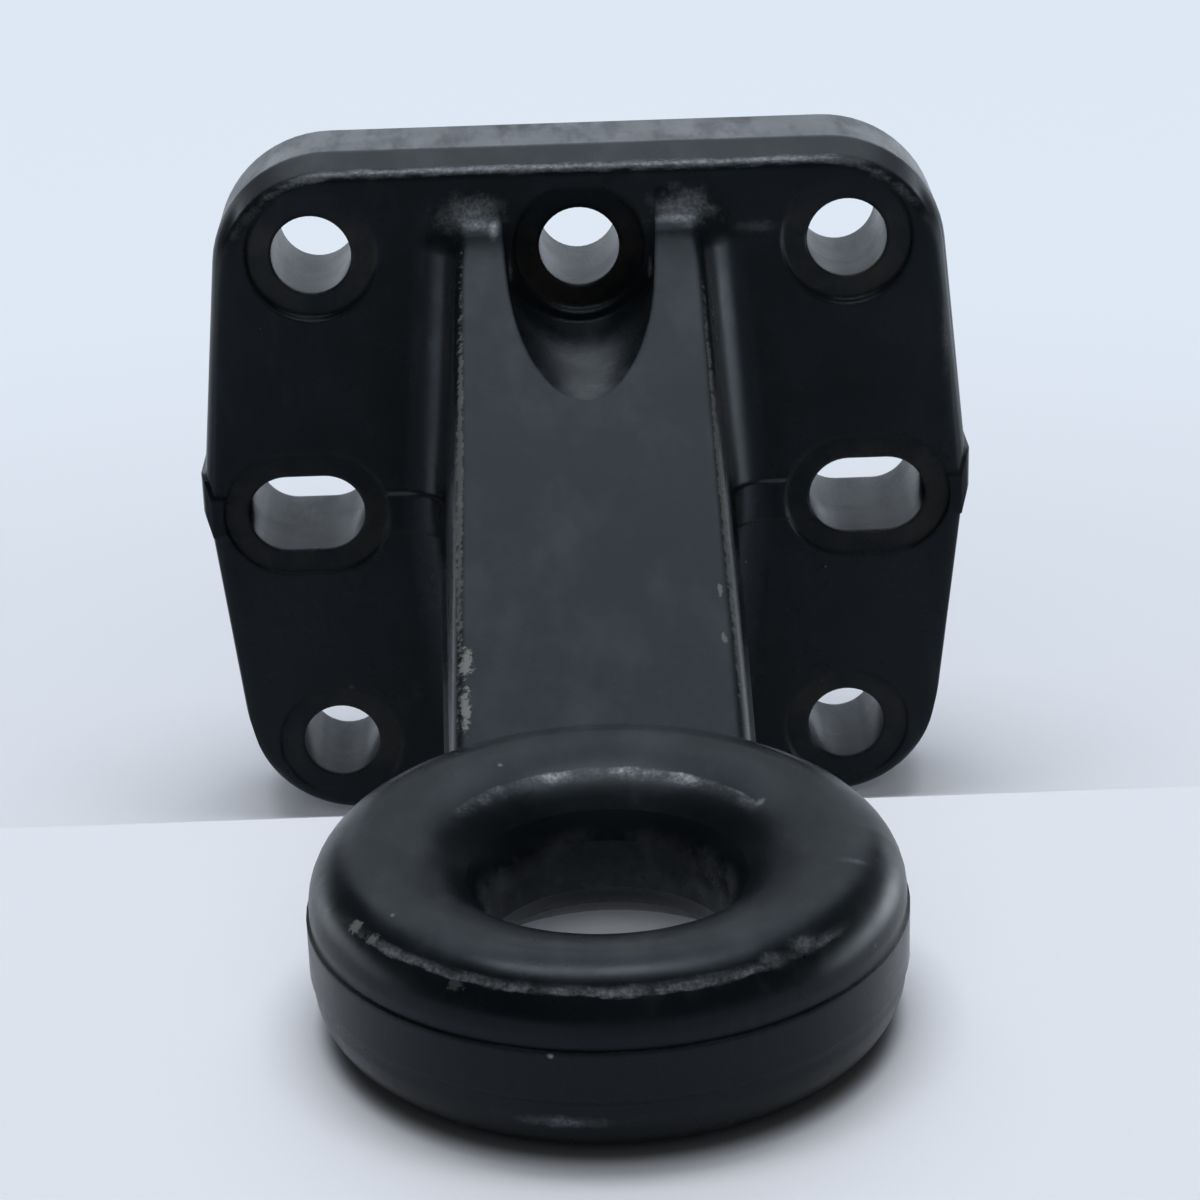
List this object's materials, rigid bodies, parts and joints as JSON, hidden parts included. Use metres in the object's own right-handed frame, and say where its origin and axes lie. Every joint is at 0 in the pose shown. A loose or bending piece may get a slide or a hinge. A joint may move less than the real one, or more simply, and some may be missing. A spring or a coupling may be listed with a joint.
{
  "type": "drawbar eye",
  "caption": "Forged bolt-on drawbar eye: a drilled mounting flange, a wedge-shaped shank and a thick ring with a wear bush for a 50 mm coupling pin.",
  "frame": {"origin": "middle of the pin's bore, on the parting plane of the forging", "axes": "+Z along the bore, upwards in use; +Y from the ring towards the mounting flange, square to its mounting face"},
  "size_m": [0.2092, 0.3328, 0.188],
  "materials": {
    "forging_paint": "semi-gloss black paint over a forged skin, rubbed bright on the ridges",
    "bush_steel": "dark hardened steel, turned bore, bright at the worn mouth"
  },
  "bodies": {
    "root": {"eye_forging": "forging_paint", "wear_bush": "bush_steel"}
  },
  "joints": []
}
